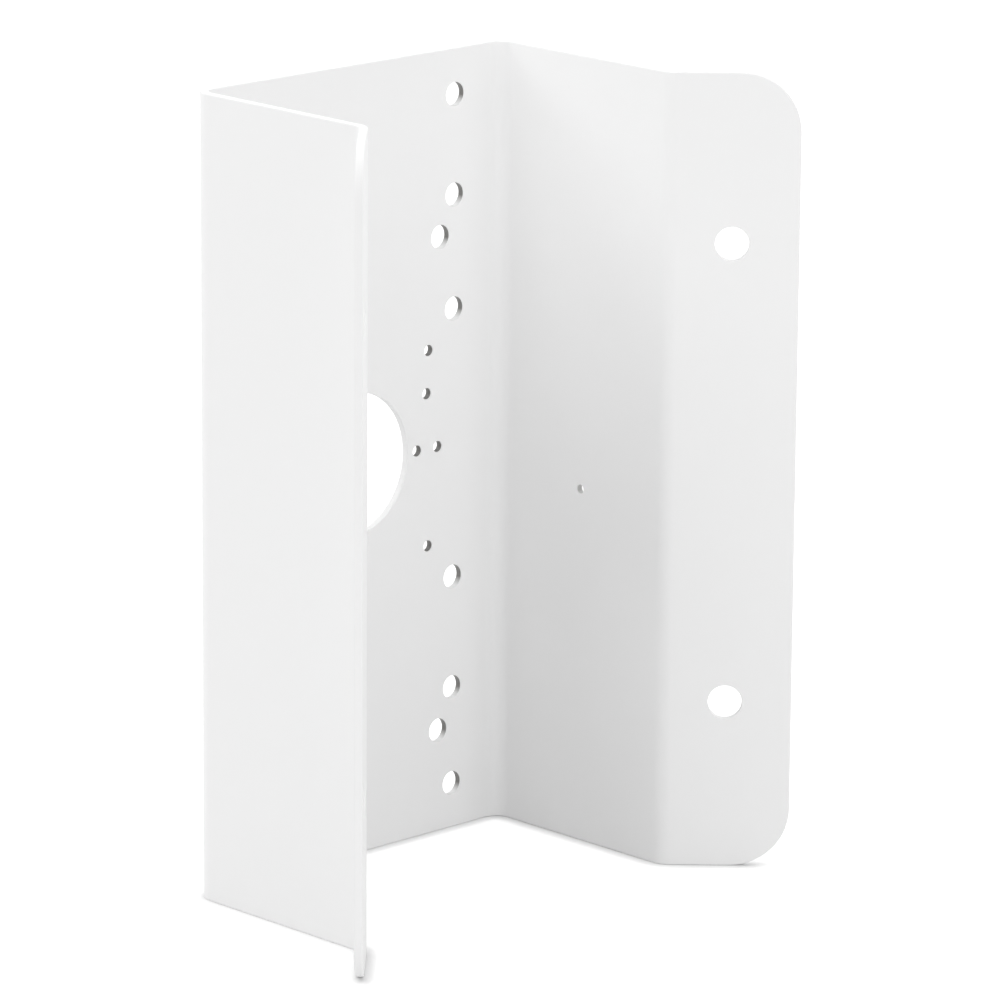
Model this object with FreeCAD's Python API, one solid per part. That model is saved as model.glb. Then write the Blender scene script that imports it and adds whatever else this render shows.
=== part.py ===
import FreeCAD, Part
import math
import os

# Corner mount bracket: one steel sheet, folded four times, that holds a camera or a junction box
# on the outside corner of a building.
# Millimetres. The plate lies in the XZ plane and its device face, at Y = 0, looks along -Y. An arm
# runs back along +Y from each side of the plate, and at the end of each arm a flange splays out to
# lie flat on a wall. The origin is the centre of the cable hole.

# The sheet
sheet_thickness = 2.5
bend_radius = 5.0               # inside radius of every fold
edge_rounding = 0.4             # radius of the painted cut edges

# The folded profile, measured to the sharp corners of the folds on the device side of the sheet
bracket_height = 250.0
plate_width = 129.0
arm_depth = 74.0
flange_length = 39.0
flange_splay = 45.0             # degrees between an arm and its flange
flange_corner_radius = 18.5

# The cable hole in the middle of the plate
cable_hole_diameter = 45.0

# Clearance holes for the screws that hold the device. Heights are above the cable hole's centre.
screw_hole_diameter = 7.5
wide_spacing = 84.0             # across the plate, for the outer, middle and inner patterns
outer_from_edge = 14.5          # from the plate's top and bottom edges
middle_spacing = 158.0          # up the plate
inner_spacing = 86.0            # up the plate
narrow_spacing = 72.0           # across the plate
narrow_upper_height = 66.5
narrow_lower_height = -92.0

# Pilot holes for self-tapping screws, around the cable hole
pilot_hole_diameter = 3.5
pilot_square = 62.5             # spacing across and up the plate
pilot_ring_diameter = 70.5      # one pair level with the cable hole, one pair above it
pilot_ring_angle = 30.0         # degrees from level to the upper pair
pilot_pair_spacing = 53.0       # the pair nearest to the cable hole

# Anchor holes in the flanges
anchor_hole_diameter = 10.5
anchor_spacing = 144.5          # up the flange
anchor_from_end = 20.5          # from the flange's end edge

# Earth screw's pilot hole in the arm at -X
earth_hole_diameter = 2.8
earth_hole_from_plate = 38.5    # from the plate's device face
earth_hole_height = -11.5

cut_margin = 1.0                # how far a hole's cutter runs past each face of the sheet
touching = 0.01                 # points closer than this are the same point
sharp_angle = 30.0              # degrees; faces that meet at more than this have a cut edge between them

outer_spacing = bracket_height - 2 * outer_from_edge
half_height = bracket_height / 2
half_width = plate_width / 2
splay = math.radians(flange_splay)
flange_direction = FreeCAD.Vector(math.sin(splay), math.cos(splay), 0)
flange_normal = FreeCAD.Vector(-math.cos(splay), math.sin(splay), 0)    # out of the wall face


def mirrored(point):
    """The same point on the other side of the bracket."""
    return FreeCAD.Vector(-point.x, point.y, point.z)


def left_of(direction):
    """The channel side of the sheet, for someone who follows the profile from -X to +X."""
    return FreeCAD.Vector(-direction.y, direction.x, 0)


def directions(corners):
    return [(end - start).normalize() for start, end in zip(corners, corners[1:])]


def device_side_corners():
    """The profile's ends and sharp corners on the device side, from -X to +X."""
    plate_corner = FreeCAD.Vector(half_width, 0, 0)
    arm_corner = FreeCAD.Vector(half_width, arm_depth, 0)
    flange_end = arm_corner + flange_direction * flange_length
    right_half = [plate_corner, arm_corner, flange_end]
    return [mirrored(point) for point in reversed(right_half)] + right_half


def channel_side_corners(corners):
    """The same corners, moved through the sheet to its channel side."""
    normals = [left_of(direction) for direction in directions(corners)]
    moved = [corners[0] + normals[0] * sheet_thickness]
    for corner, before, after in zip(corners[1:], normals, normals[1:]):
        mitre = (before + after) * (1 / (1 + before.dot(after)))
        moved.append(corner + mitre * sheet_thickness)
    moved.append(corners[-1] + normals[-1] * sheet_thickness)
    return moved


def folded_edges(corners, on_channel_side):
    """Lines through the corners, with a tangent arc at each fold."""
    headings = directions(corners)
    edges = []
    start = corners[0]
    for corner, before, after in zip(corners[1:], headings, headings[1:]):
        turns_left = before.cross(after).z > 0
        inside = turns_left == on_channel_side
        radius = bend_radius if inside else bend_radius + sheet_thickness
        half_turn = before.getAngle(after) / 2
        reach = radius * math.tan(half_turn)
        arc_start = corner - before * reach
        arc_end = corner + after * reach
        inward = (after - before).normalize()
        arc_middle = corner + inward * (radius / math.cos(half_turn) - radius)
        edges.append(Part.makeLine(start, arc_start))
        edges.append(Part.Arc(arc_start, arc_middle, arc_end).toShape())
        start = arc_end
    edges.append(Part.makeLine(start, corners[-1]))
    return edges


def folded_sheet():
    """The profile's section, drawn at the bottom edge and extruded to the bracket's height."""
    device_side = device_side_corners()
    channel_side = channel_side_corners(device_side)
    edges = folded_edges(device_side, on_channel_side=False)
    edges += folded_edges(channel_side, on_channel_side=True)
    edges.append(Part.makeLine(device_side[0], channel_side[0]))
    edges.append(Part.makeLine(device_side[-1], channel_side[-1]))
    section = Part.Face(Part.Wire(Part.sortEdges(edges)[0]))
    section.translate(FreeCAD.Vector(0, 0, -half_height))
    return section.extrude(FreeCAD.Vector(0, 0, bracket_height))


def round_flange_corners(sheet):
    """Round the top and bottom corner of each flange."""
    end_middle = device_side_corners()[-1] + flange_normal * (sheet_thickness / 2)
    corner_edges = []
    for end in (end_middle, mirrored(end_middle)):
        for height in (-half_height, half_height):
            place = end + FreeCAD.Vector(0, 0, height)
            corner_edges += [edge for edge in sheet.Edges
                             if edge.CenterOfMass.distanceToPoint(place) < touching]
    return sheet.makeFillet(flange_corner_radius, corner_edges)


def is_sharp(sheet, edge):
    """True where two faces meet at an angle, so not along the seam where a fold begins."""
    middle = edge.valueAt((edge.FirstParameter + edge.LastParameter) / 2)
    first, second = sheet.ancestorsOfType(edge, Part.Face)
    normals = [face.normalAt(*face.Surface.parameter(middle)) for face in (first, second)]
    return normals[0].getAngle(normals[1]) > math.radians(sharp_angle)


def round_cut_edges(sheet):
    rim = [edge for edge in sheet.Edges if is_sharp(sheet, edge)]
    return sheet.makeFillet(edge_rounding, rim)


def hole(diameter, place, direction):
    """A cutter for a round hole. It starts in front of the sheet's device face at place."""
    start = place - direction * cut_margin
    return Part.makeCylinder(diameter / 2, sheet_thickness + 2 * cut_margin, start, direction)


def plate_holes(diameter, spacing, heights):
    """A pair of holes in the plate at each height, one on each side of the middle."""
    return [hole(diameter, FreeCAD.Vector(side * spacing / 2, 0, height), FreeCAD.Vector(0, 1, 0))
            for height in heights for side in (-1, 1)]


def screw_holes():
    wide_heights = [side * spacing / 2 for side in (-1, 1)
                    for spacing in (outer_spacing, middle_spacing, inner_spacing)]
    narrow_heights = [narrow_upper_height, narrow_lower_height]
    return (plate_holes(screw_hole_diameter, wide_spacing, wide_heights)
            + plate_holes(screw_hole_diameter, narrow_spacing, narrow_heights))


def pilot_holes():
    ring_angle = math.radians(pilot_ring_angle)
    upper_spacing = pilot_ring_diameter * math.cos(ring_angle)
    upper_height = pilot_ring_diameter / 2 * math.sin(ring_angle)
    square_heights = [-pilot_square / 2, pilot_square / 2]
    return (plate_holes(pilot_hole_diameter, pilot_square, square_heights)
            + plate_holes(pilot_hole_diameter, pilot_ring_diameter, [0])
            + plate_holes(pilot_hole_diameter, upper_spacing, [upper_height])
            + plate_holes(pilot_hole_diameter, pilot_pair_spacing, [0]))


def anchor_holes():
    """Two holes in each flange, square to the wall it lies on."""
    in_flange = device_side_corners()[-1] - flange_direction * anchor_from_end
    cutters = []
    for height in (-anchor_spacing / 2, anchor_spacing / 2):
        place = in_flange + FreeCAD.Vector(0, 0, height)
        cutters.append(hole(anchor_hole_diameter, place, flange_normal))
        cutters.append(hole(anchor_hole_diameter, mirrored(place), mirrored(flange_normal)))
    return cutters


def cable_hole():
    return hole(cable_hole_diameter, FreeCAD.Vector(0, 0, 0), FreeCAD.Vector(0, 1, 0))


def earth_hole():
    place = FreeCAD.Vector(-half_width, earth_hole_from_plate, earth_hole_height)
    return hole(earth_hole_diameter, place, FreeCAD.Vector(1, 0, 0))


def bracket():
    sheet = round_cut_edges(round_flange_corners(folded_sheet()))
    cutters = [cable_hole(), earth_hole()] + screw_holes() + pilot_holes() + anchor_holes()
    return sheet.cut(Part.makeCompound(cutters))


os.makedirs("parts", exist_ok=True)
solid = bracket().Solids[0]
print("bracket: valid", solid.isValid(), "volume", round(solid.Volume, 1), "box", solid.BoundBox)
solid.exportStep("parts/bracket.step")
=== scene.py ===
# %% [markdown]
# A corner mount bracket for a camera, seen from the wall side. It is one steel sheet: cut flat,
# drilled, folded four times and powder coated white. The measured shape comes from the CAD frame,
# and this lesson gives it the finish, the light and the view of a product photograph.
#
# White paint on a white ground leaves nothing to show the form but light. So the work is in three
# places: edges that are soft enough to catch a highlight, a coat that is not quite flat, and lamps
# that leave the inside of the channel a little darker than the outside. All lengths are in metres.

# %% Load the frame and measure it
import math

import bpy
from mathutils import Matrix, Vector


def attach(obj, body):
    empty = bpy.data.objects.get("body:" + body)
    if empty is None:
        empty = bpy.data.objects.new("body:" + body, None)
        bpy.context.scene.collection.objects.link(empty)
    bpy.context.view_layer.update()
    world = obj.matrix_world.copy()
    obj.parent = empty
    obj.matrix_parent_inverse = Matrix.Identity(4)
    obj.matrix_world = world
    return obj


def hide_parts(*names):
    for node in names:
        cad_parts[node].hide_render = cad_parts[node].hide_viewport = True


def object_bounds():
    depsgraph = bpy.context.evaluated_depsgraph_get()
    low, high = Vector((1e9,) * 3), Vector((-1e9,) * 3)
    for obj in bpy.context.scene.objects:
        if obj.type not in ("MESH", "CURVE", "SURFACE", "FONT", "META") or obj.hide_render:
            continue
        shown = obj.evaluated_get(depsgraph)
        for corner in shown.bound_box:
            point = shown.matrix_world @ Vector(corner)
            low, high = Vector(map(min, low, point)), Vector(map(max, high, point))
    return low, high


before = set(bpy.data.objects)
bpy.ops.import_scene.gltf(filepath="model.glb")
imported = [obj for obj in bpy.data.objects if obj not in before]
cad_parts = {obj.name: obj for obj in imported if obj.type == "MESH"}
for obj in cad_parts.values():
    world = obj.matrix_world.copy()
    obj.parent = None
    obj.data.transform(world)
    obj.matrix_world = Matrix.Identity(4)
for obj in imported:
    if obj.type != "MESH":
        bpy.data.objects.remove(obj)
cad_low, cad_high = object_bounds()
print("CAD box in metres:", [round(side, 4) for side in cad_high - cad_low])

# %% [markdown]
# The sheet. The real bracket is one piece of steel, so it stays one mesh here as well. It could be
# modelled again from strips that get a thickness, but the CAD mesh has the measured shape already.
# That mesh comes as loose triangles and is never changed. So a copy of it is sewn together, and the
# triangles that lie in one plane are dissolved into a single face. After that, a flat of the sheet
# is one face and a rim is one clean loop of edges.

# %% Sew a copy of the sheet together
MERGE_DISTANCE = 1e-6
FLAT_ANGLE = math.radians(0.5)

sheet = bpy.data.objects.new("painted_sheet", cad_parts["bracket"].data.copy())
bpy.context.scene.collection.objects.link(sheet)
bpy.ops.object.select_all(action="DESELECT")
sheet.select_set(True)
bpy.context.view_layer.objects.active = sheet

bpy.ops.object.mode_set(mode="EDIT")
bpy.ops.mesh.select_all(action="SELECT")
bpy.ops.mesh.remove_doubles(threshold=MERGE_DISTANCE)
bpy.ops.mesh.dissolve_limited(angle_limit=FLAT_ANGLE)
bpy.ops.object.mode_set(mode="OBJECT")
bpy.ops.mesh.customdata_custom_splitnormals_clear()
print("the sewn sheet has", len(sheet.data.polygons), "faces")

# %% [markdown]
# The rims of the holes. Paint draws back from a sharp edge and leaves it slightly round. The sheet's
# outer edges have their rounding from the CAD part already, so the only edges that are still sharp
# are the rims. They can be found by their angle, and one bevel rounds them all. It may not slide along
# the edges of the flat beside it, because some of those touch the rim at a slant and would fold over.

# %% Soften the rims of the holes
RIM_ANGLE = math.radians(60)
RIM_BEVEL = 0.0003
RIM_SEGMENTS = 2
ROUND_PROFILE = 0.5

bpy.ops.object.mode_set(mode="EDIT")
bpy.ops.mesh.select_mode(type="EDGE")
bpy.ops.mesh.select_all(action="DESELECT")
bpy.ops.mesh.edges_select_sharp(sharpness=RIM_ANGLE)
bpy.ops.mesh.bevel(
    offset=RIM_BEVEL, segments=RIM_SEGMENTS, profile=ROUND_PROFILE, clamp_overlap=False,
    loop_slide=False)
bpy.ops.object.mode_set(mode="OBJECT")
print("with soft rims it has", len(sheet.data.polygons), "faces")

# %% [markdown]
# The shading. Smooth shading runs the light round the folds. On its own it would also bend the light
# across the flats, next to each rim, as if the sheet were dented there. Weighted normals give the
# large faces the say, so that flat stays flat and only the roundings turn. Then the copy is tied to
# the bracket's body and takes the place of the CAD mesh.

# %% Shade the sheet and put it in place
SMOOTH_ANGLE = math.radians(35)
LARGE_FACES_FIRST = 100

bpy.ops.object.shade_smooth_by_angle(angle=SMOOTH_ANGLE)
weighted = sheet.modifiers.new("flat_stays_flat", "WEIGHTED_NORMAL")
weighted.weight = LARGE_FACES_FIRST
weighted.keep_sharp = True
bpy.ops.object.modifier_apply(modifier=weighted.name)

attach(sheet, "root")
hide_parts("bracket")
print("shaded", sheet.name)

# %% [markdown]
# The powder coat. It is sprayed on dry and baked, so it flows out to a satin skin with a faint
# orange peel: low, rounded bumps about a millimetre across. Real bumps in the mesh would take
# millions of faces. They are only a hundredth of a millimetre high and do no more than break up the
# highlights, so a noise texture that drives a bump node is enough.

# %% Mix the powder coat
COAT_WHITE = (0.88, 0.88, 0.88, 1)
COAT_ROUGHNESS = 0.6
PEEL_PER_METRE = 900
PEEL_DETAIL = 1.5
PEEL_HEIGHT = 0.00001


def powder_coat():
    """Satin white paint with a faint orange peel."""
    material = bpy.data.materials.new("white_powder_coat")
    material.use_nodes = True
    nodes = material.node_tree.nodes
    links = material.node_tree.links
    shader = nodes["Principled BSDF"]
    shader.inputs["Base Color"].default_value = COAT_WHITE
    shader.inputs["Roughness"].default_value = COAT_ROUGHNESS
    place = nodes.new("ShaderNodeTexCoord")
    peel = nodes.new("ShaderNodeTexNoise")
    peel.inputs["Scale"].default_value = PEEL_PER_METRE
    peel.inputs["Detail"].default_value = PEEL_DETAIL
    bump = nodes.new("ShaderNodeBump")
    bump.inputs["Distance"].default_value = PEEL_HEIGHT
    links.new(place.outputs["Object"], peel.inputs["Vector"])
    links.new(peel.outputs["Fac"], bump.inputs["Height"])
    links.new(bump.outputs["Normal"], shader.inputs["Normal"])
    return material


sheet.data.materials.clear()
sheet.data.materials.append(powder_coat())
print("coated with", sheet.data.materials[0].name)

# %% [markdown]
# The colours inside the small holes. Their walls are dark grey and show as a grey crescent inside
# the white rim. That makes three colours: dark grey for the pilot holes; dark grey for the screw
# holes that turns to coat white where the wall looks up, which is painted light from above; and a
# light grey for the earth screw's hole, which is painted shade of its depth. An attribute keeps the
# height of the surface normal at each corner of the mesh, and a ramp over it runs from dark grey to
# white, so one material serves all sixteen holes.

# %% Mix the wall colours, with painted light and shade
# dark grey for the walls of the small holes
WALL_DARK_GREY = (0.19, 0.187, 0.18, 1)
# painted shade: a grey that stands for the shade deep inside the earth screw's small hole
EARTH_HOLE_SHADE_GREY = (0.6, 0.6, 0.59, 1)
WALL_ROUGHNESS = 0.5
# painted light from above: between these heights of the normal a screw hole's wall turns from dark
# grey to coat white
LIGHTENS_FROM = 0.2
LIGHTENS_TO = 0.9
LOOKS_UP = "looks_up"

normal_heights = sheet.data.attributes.new(LOOKS_UP, "FLOAT", "CORNER")
for height, normal in zip(normal_heights.data, sheet.data.corner_normals):
    height.value = normal.vector.z


def plain_wall(name, colour):
    """One dull colour all over."""
    material = bpy.data.materials.new(name)
    material.use_nodes = True
    shader = material.node_tree.nodes["Principled BSDF"]
    shader.inputs["Base Color"].default_value = colour
    shader.inputs["Roughness"].default_value = WALL_ROUGHNESS
    return material


def up_lit_wall(name):
    """Dark grey that turns to coat white where the surface looks up, as painted light from above."""
    material = plain_wall(name, WALL_DARK_GREY)
    nodes = material.node_tree.nodes
    links = material.node_tree.links
    height = nodes.new("ShaderNodeAttribute")
    height.attribute_name = LOOKS_UP
    ramp = nodes.new("ShaderNodeValToRGB")
    dark_end, lit_end = ramp.color_ramp.elements
    dark_end.position = LIGHTENS_FROM
    dark_end.color = WALL_DARK_GREY
    lit_end.position = LIGHTENS_TO
    lit_end.color = COAT_WHITE
    links.new(height.outputs["Fac"], ramp.inputs["Fac"])
    links.new(ramp.outputs["Color"], nodes["Principled BSDF"].inputs["Base Color"])
    return material


sheet.data.materials.append(plain_wall("dark_grey_wall", WALL_DARK_GREY))
sheet.data.materials.append(up_lit_wall("wall_lit_from_above"))
sheet.data.materials.append(plain_wall("earth_hole_shade", EARTH_HOLE_SHADE_GREY))
print("finishes:", [material.name for material in sheet.data.materials])

# %% [markdown]
# The walls themselves. The faces of a hole's wall have no name, but their place gives them away:
# they stand square to the sheet, halfway through it, and away from its cut edges. That is surer than
# picking them by hand. In the plate, the distance from the middle then tells the cable hole, which
# is painted through, from the pilot holes round it and the screw holes further out. The only hole in
# an arm is the earth screw's. The anchor holes in the flanges are wide enough for the powder to get
# in, so their walls stay coated.

# %% Give the walls their colours, with painted light and shade
# the order of the sheet's materials
COATED, DARK_WALL, UP_LIT, EARTH_HOLE_SHADE = range(len(sheet.data.materials))
SHEET_THICKNESS = 0.0025
ARM_OUTSIDE = 0.0645
CABLE_HOLE_RADIUS = 0.0225
PILOT_HOLES_WITHIN = 0.05
EDGE_MARGIN = 0.003
HALFWAY_WITHIN = 0.0003
SQUARE_WITHIN = 0.01


def is_halfway(depth):
    """True for a depth below the sheet's surface that lies in the middle of its thickness."""
    return abs(depth - SHEET_THICKNESS / 2) < HALFWAY_WITHIN


def finish_of(face):
    """The number of the material that a face of the sheet gets."""
    place = face.center
    through_plate = is_halfway(place.y) and abs(face.normal.y) < SQUARE_WITHIN
    through_arm = is_halfway(ARM_OUTSIDE - abs(place.x)) and abs(face.normal.x) < SQUARE_WITHIN
    from_middle = math.hypot(place.x, place.z)
    at_cut_edge = abs(place.z) > cad_high.z - EDGE_MARGIN
    if at_cut_edge or not (through_plate or through_arm):
        return COATED
    if through_arm:
        # the earth screw's hole gets the grey of painted shade
        return EARTH_HOLE_SHADE
    if from_middle < CABLE_HOLE_RADIUS + RIM_BEVEL:
        return COATED
    # pilot holes get the dark grey, screw holes the dark grey with painted light where the wall faces
    # up
    return DARK_WALL if from_middle < PILOT_HOLES_WITHIN else UP_LIT


for face in sheet.data.polygons:
    face.material_index = finish_of(face)
for slot, material in enumerate(sheet.data.materials):
    print(material.name, sum(face.material_index == slot for face in sheet.data.polygons), "faces")

# %% [markdown]
# The rays that draw the picture. The photograph has a pure white ground. A floor and a room bright
# enough for that would flood the part with light, so they get two levels: a plain one that lights
# the part, and white for the rays that the camera follows, straight, in a reflection or through
# glass. The Light Path node tells these rays apart.

# %% Tell the picture's rays from the light's
PICTURE_RAYS = ("Is Camera Ray", "Is Glossy Ray", "Is Transmission Ray")


def picture_ray(tree):
    """Add nodes to a material or world that give 1 to a ray of the picture, and 0 to others."""
    path = tree.nodes.new("ShaderNodeLightPath")
    total = path.outputs[PICTURE_RAYS[0]]
    for kind in PICTURE_RAYS[1:]:
        either = tree.nodes.new("ShaderNodeMath")
        either.operation = "ADD"
        tree.links.new(total, either.inputs[0])
        tree.links.new(path.outputs[kind], either.inputs[1])
        total = either.outputs["Value"]
    return total


print("rays that see white:", ", ".join(PICTURE_RAYS))

# %% [markdown]
# The floor. It is a large disc of white paint with a glow on top that only the picture's rays see.
# The photograph keeps one trace of the ground, a thin dark line where the sheet stands on it. An
# Ambient Occlusion node finds the places within a few millimetres of the sheet, and the glow fades
# there, so that the shadow that the lamps leave along the sheet's foot stays in the picture.

# %% Lay the floor
FLOOR_RADIUS = 6.0
FLOOR_SIDES = 64
FLOOR_WHITE = (0.85, 0.85, 0.85, 1)
FLOOR_GLOW = 0.45
CONTACT_REACH = 0.005
CONTACT_OPENNESS = 0.6
CONTACT_SAMPLES = 4


def floor_paint():
    """White paint, and a glow for the picture's rays that fades near the sheet's foot."""
    material = bpy.data.materials.new("studio_floor")
    material.use_nodes = True
    tree = material.node_tree
    tree.nodes.clear()
    paint = tree.nodes.new("ShaderNodeBsdfDiffuse")
    paint.inputs["Color"].default_value = FLOOR_WHITE
    openness = tree.nodes.new("ShaderNodeAmbientOcclusion")
    openness.samples = CONTACT_SAMPLES
    openness.inputs["Distance"].default_value = CONTACT_REACH
    fade = tree.nodes.new("ShaderNodeMapRange")
    fade.inputs["From Min"].default_value = CONTACT_OPENNESS
    fade.inputs["To Max"].default_value = FLOOR_GLOW
    strength = tree.nodes.new("ShaderNodeMath")
    strength.operation = "MULTIPLY"
    glow = tree.nodes.new("ShaderNodeEmission")
    both = tree.nodes.new("ShaderNodeAddShader")
    output = tree.nodes.new("ShaderNodeOutputMaterial")
    tree.links.new(openness.outputs["AO"], fade.inputs["Value"])
    tree.links.new(fade.outputs["Result"], strength.inputs[0])
    tree.links.new(picture_ray(tree), strength.inputs[1])
    tree.links.new(strength.outputs["Value"], glow.inputs["Strength"])
    tree.links.new(paint.outputs["BSDF"], both.inputs[0])
    tree.links.new(glow.outputs["Emission"], both.inputs[1])
    tree.links.new(both.outputs["Shader"], output.inputs["Surface"])
    return material


bpy.ops.mesh.primitive_circle_add(
    vertices=FLOOR_SIDES, radius=FLOOR_RADIUS, fill_type="NGON", location=(0, 0, cad_low.z))
floor = bpy.context.object
floor.name = "studio_floor"
floor.data.materials.append(floor_paint())
print("floor at", round(floor.location.z, 4))

# %% [markdown]
# The lamps. The photograph is lit softly from all round. The room alone could do that, but it lights
# every side alike, and white folds would hardly show. So four large softboxes stand about the part
# and one hangs close above it. The one on the wall side is low and looks into the channel, the one
# on the device side lights the arm on the left, and the overhead one makes the top edges and the
# flange's round corner shine. The foot of the channel gets the least, and falls off to grey. The
# powers were worked out by least squares from the photograph's tones on the bracket's flat faces and
# then adjusted, so they suit this view and aren't a record of the real studio.

# %% Hang the lamps
# name, azimuth from +X towards +Y and elevation in degrees, distance and size in metres, watts
LAMPS = [
    ("wall_side_lamp", 90, 12, 1.6, 0.8, 4.9),
    ("device_side_lamp", -60, 40, 1.6, 0.8, 6.1),
    ("near_arm_lamp", 0, 40, 1.6, 0.8, 4.1),
    ("far_arm_lamp", 180, 40, 1.6, 0.8, 4.7),
    ("overhead_lamp", 0, 90, 0.4, 0.2, 0.22),
]


def softbox(name, azimuth, elevation, distance, size, power):
    """A square lamp that looks at the origin and that the camera can't see."""
    lamp = bpy.data.lights.new(name, "AREA")
    lamp.shape = "SQUARE"
    lamp.size = size
    lamp.energy = power
    holder = bpy.data.objects.new(name, lamp)
    turn = math.radians(azimuth)
    lift = math.radians(elevation)
    level = math.cos(lift)
    outwards = Vector((level * math.cos(turn), level * math.sin(turn), math.sin(lift)))
    holder.location = outwards * distance
    holder.rotation_euler = outwards.to_track_quat("Z", "Y").to_euler()
    holder.visible_camera = False
    bpy.context.scene.collection.objects.link(holder)


for lamp in LAMPS:
    softbox(*lamp)
print("lamps:", len(LAMPS))

# %% [markdown]
# The room. The world stands for the white walls of the studio, which fill the shadows from every
# side. It lights the part at a plain level and is white where the picture shows it.

# %% Light the room
ROOM_WHITE = (1, 1, 1, 1)
ROOM_LEVEL = 0.65
ROOM_SEEN = 1.0


def white_room():
    """A world at the plain level for the light's rays and white for the picture's."""
    world = bpy.data.worlds.new("white_room")
    world.use_nodes = True
    tree = world.node_tree
    background = tree.nodes["Background"]
    background.inputs["Color"].default_value = ROOM_WHITE
    level = tree.nodes.new("ShaderNodeMapRange")
    level.inputs["To Min"].default_value = ROOM_LEVEL
    level.inputs["To Max"].default_value = ROOM_SEEN
    tree.links.new(picture_ray(tree), level.inputs["Value"])
    tree.links.new(level.outputs["Result"], background.inputs["Strength"])
    return world


bpy.context.scene.world = white_room()
bpy.context.scene.view_settings.view_transform = "Standard"
print("room level:", ROOM_LEVEL)

# %% [markdown]
# The camera. It stands on the wall side, a little above the bracket, and looks into the channel
# past the arm on the left. A long lens from two metres keeps the upright edges nearly parallel, as
# product photographers like them. Its place, its turn and its lens were found by matching the
# bracket's outline with the photograph's.

# %% Set up the camera
SENSOR_WIDTH = 36
FOCAL_LENGTH = 234.6
CAMERA_PLACE = (1.3206, 1.426, 0.4886)
CAMERA_TURN = (75.576, -0.391, 135.927)

camera_data = bpy.data.cameras.new("camera")
camera_data.sensor_width = SENSOR_WIDTH
camera_data.lens = FOCAL_LENGTH
camera = bpy.data.objects.new("camera", camera_data)
camera.location = CAMERA_PLACE
camera.rotation_euler = [math.radians(angle) for angle in CAMERA_TURN]
bpy.context.scene.collection.objects.link(camera)
bpy.context.scene.camera = camera
print("camera distance:", round(camera.location.length, 3))
